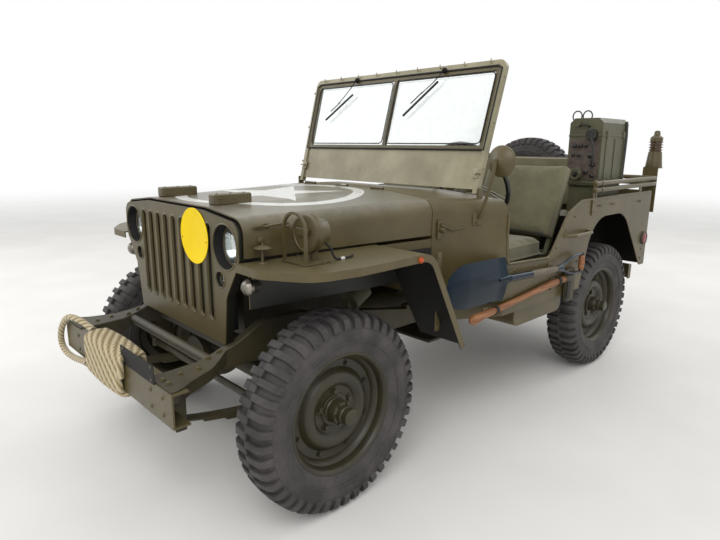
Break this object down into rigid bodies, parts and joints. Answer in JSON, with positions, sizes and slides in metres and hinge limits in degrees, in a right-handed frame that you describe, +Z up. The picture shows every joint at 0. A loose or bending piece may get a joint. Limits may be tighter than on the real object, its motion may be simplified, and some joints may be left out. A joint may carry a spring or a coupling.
{
  "type": "army 4x4 car",
  "caption": "Open army 4x4 car with a slotted grille, folding windscreen, top-hinged hood, side tools, a radio set, rope on the bumper and a spare wheel at the rear.",
  "frame": {"origin": "on the floor under the middle of the car's bounding box", "axes": "+X to the car's left, the front faces -Y, +Z up"},
  "size_m": [1.593, 3.364, 1.6511],
  "materials": {
    "tyre": "worn rubber",
    "olive_paint": "matt olive drab",
    "dark_steel": "matt dark olive",
    "black_plastic": "matt",
    "canvas": "rough canvas",
    "wood": "bare and worn",
    "clear_glass": "clear",
    "red_lens": "gloss"
  },
  "bodies": {
    "chassis": {"antenna_base": "olive_paint", "axles": "dark_steel", "blackout_lamp": "olive_paint", "cowl": "olive_paint", "drive_line": "dark_steel", "driver_seat": "canvas", "engine": "dark_steel", "exhaust": "dark_steel", "fenders": "olive_paint", "frame": "olive_paint", "front_bumper": "olive_paint", "fuel_tank": "olive_paint", "grab_handles": "olive_paint", "grille": "olive_paint", "headlamps": "olive_paint", "lamp_glasses": "clear_glass", "leaf_springs": "dark_steel", "mirror": "olive_paint", "radiator": "dark_steel", "radio_set": "black_plastic", "rear_bumpers": "olive_paint", "rear_seat": "canvas", "reflectors": "red_lens", "rope": "canvas", "seat_frames": "olive_paint", "spare_tyre": "tyre", "spare_wheel": "olive_paint", "steering_column": "olive_paint", "tool_blades": "dark_steel", "tool_shafts": "wood", "top_bows": "olive_paint", "tub_floor": "olive_paint", "tub_rear": "olive_paint", "tub_sides": "olive_paint", "wheel_houses": "olive_paint"},
    "hood": {"hood": "olive_paint", "hood_blocks": "wood"},
    "windscreen": {"screen_frame": "olive_paint", "glass_frame": "olive_paint", "screen_glass": "clear_glass"},
    "steering_wheel": {"steering_wheel": "black_plastic"},
    "knuckle_left": {"knuckle_left": "dark_steel"},
    "knuckle_right": {"knuckle_right": "dark_steel"},
    "tie_rod": {"tie_rod": "dark_steel"},
    "passenger_seat": {"passenger_seat": "canvas", "passenger_seat_frame": "olive_paint"},
    "rear_seat_back": {"rear_seat_back": "canvas"},
    "front_left_wheel": {"tyre_front_left": "tyre", "wheel_front_left": "olive_paint"},
    "front_right_wheel": {"tyre_front_right": "tyre", "wheel_front_right": "olive_paint"},
    "rear_left_wheel": {"tyre_rear_left": "tyre", "wheel_rear_left": "olive_paint"},
    "rear_right_wheel": {"tyre_rear_right": "tyre", "wheel_rear_right": "olive_paint"}
  },
  "joints": [
    {"name": "hood_hinge", "type": "hinge", "parent": "chassis", "child": "hood", "pos_m": [0, -0.512, 1.1], "axis": [1, 0, 0], "range_deg": [-115, 0]},
    {"name": "windscreen_fold", "type": "hinge", "parent": "chassis", "child": "windscreen", "pos_m": [0, -0.274, 1.096], "axis": [1, 0, 0], "range_deg": [0, 98]},
    {"name": "passenger_seat_tip", "type": "hinge", "parent": "chassis", "child": "passenger_seat", "pos_m": [-0.398, -0.077, 0.584], "axis": [1, 0, 0], "range_deg": [0, 47]},
    {"name": "rear_seat_back_fold", "type": "hinge", "parent": "chassis", "child": "rear_seat_back", "pos_m": [0, 1.298, 0.882], "axis": [1, 0, 0], "range_deg": [0, 88]},
    {"name": "steering_left", "type": "hinge", "parent": "chassis", "child": "knuckle_left", "pos_m": [0.518, -1.11, 0.365], "axis": [0, 0, 1], "range_deg": [-27, 27]},
    {"name": "steering_right", "type": "hinge", "parent": "chassis", "child": "knuckle_right", "pos_m": [-0.518, -1.11, 0.365], "axis": [0, 0, 1], "range_deg": [-27, 27]},
    {"name": "tie_rod_slide", "type": "slide", "parent": "chassis", "child": "tie_rod", "axis": [1, 0, 0], "range_m": [-0.0695, 0.0695]},
    {"name": "steering_wheel_turn", "type": "hinge", "parent": "chassis", "child": "steering_wheel", "pos_m": [0.37, 0.02, 1.115], "axis": [0, 0.8704, 0.4924], "range_deg": [-380, 380]},
    {"name": "front_left_wheel_spin", "type": "hinge", "parent": "knuckle_left", "child": "front_left_wheel", "pos_m": [0.6225, -1.11, 0.365], "axis": [1, 0, 0], "continuous": true},
    {"name": "front_right_wheel_spin", "type": "hinge", "parent": "knuckle_right", "child": "front_right_wheel", "pos_m": [-0.6225, -1.11, 0.365], "axis": [1, 0, 0], "continuous": true},
    {"name": "rear_left_wheel_spin", "type": "hinge", "parent": "chassis", "child": "rear_left_wheel", "pos_m": [0.6225, 0.922, 0.365], "axis": [1, 0, 0], "continuous": true},
    {"name": "rear_right_wheel_spin", "type": "hinge", "parent": "chassis", "child": "rear_right_wheel", "pos_m": [-0.6225, 0.922, 0.365], "axis": [1, 0, 0], "continuous": true}
  ],
  "couplings": [
    {"joint": "steering_right", "follows": "steering_left", "ratio": 1},
    {"joint": "steering_wheel_turn", "follows": "steering_left", "ratio": 14},
    {"joint": "tie_rod_slide", "follows": "steering_left", "m_per_rad": 0.1464}
  ]
}
